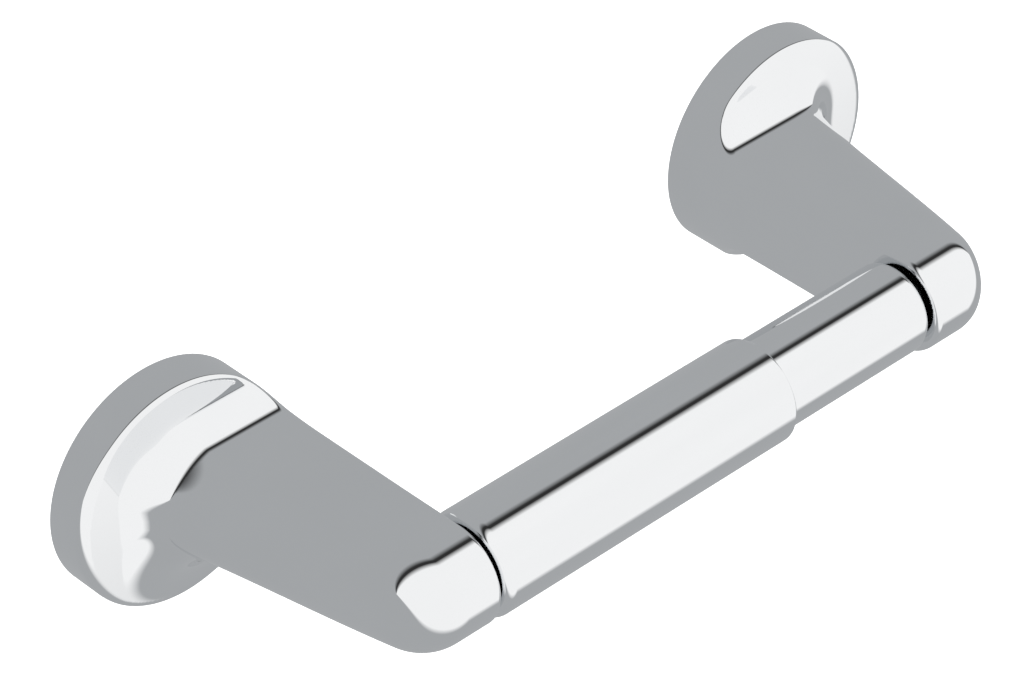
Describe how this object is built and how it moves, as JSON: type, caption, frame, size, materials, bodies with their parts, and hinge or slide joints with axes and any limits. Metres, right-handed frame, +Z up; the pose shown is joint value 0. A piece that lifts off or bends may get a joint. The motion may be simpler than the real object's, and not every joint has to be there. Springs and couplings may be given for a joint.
{
  "type": "wall-mounted paper roll holder",
  "caption": "Wall-mounted holder with cast posts on hidden brackets and a spring-loaded telescoping roller that turns and comes out for a new paper roll.",
  "frame": {"origin": "on the wall plane, midway between the posts and level with the roller axis", "axes": "+X along the roller towards the smaller tube, +Y into the wall, +Z up"},
  "size_m": [0.2288, 0.0905, 0.053],
  "materials": {
    "chrome_plate": "polished chrome plate on cast zinc",
    "chrome_tube": "polished chrome plate on drawn steel tube",
    "zinc_steel": "bright zinc-plated steel",
    "black_oxide_steel": "black oxide steel",
    "spring_steel": "drawn spring wire",
    "grey_nylon": "moulded nylon"
  },
  "bodies": {
    "wall_frame": {"left_post": "chrome_plate", "right_post": "chrome_plate", "left_wall_bracket": "zinc_steel", "right_wall_bracket": "zinc_steel", "left_upper_wall_screw": "zinc_steel", "left_lower_wall_screw": "zinc_steel", "right_upper_wall_screw": "zinc_steel", "right_lower_wall_screw": "zinc_steel", "left_set_screw": "black_oxide_steel", "right_set_screw": "black_oxide_steel"},
    "roller": {"roller_outer_tube": "chrome_tube", "left_pivot_plug": "grey_nylon", "guide_bush": "grey_nylon", "compression_spring": "spring_steel"},
    "roller_slider": {"roller_inner_tube": "chrome_tube", "right_pivot_plug": "grey_nylon", "sliding_collar": "grey_nylon"}
  },
  "joints": [
    {"name": "roller_spin", "type": "hinge", "parent": "wall_frame", "child": "roller", "pos_m": [0, -0.0665, 0], "axis": [1, 0, 0], "continuous": true},
    {"name": "roller_squeeze", "type": "slide", "parent": "roller", "child": "roller_slider", "axis": [1, 0, 0], "range_m": [-0.012, 0], "stiffness_N_per_m": 350, "springref_m": 0.02, "deforming": ["compression_spring"]}
  ]
}
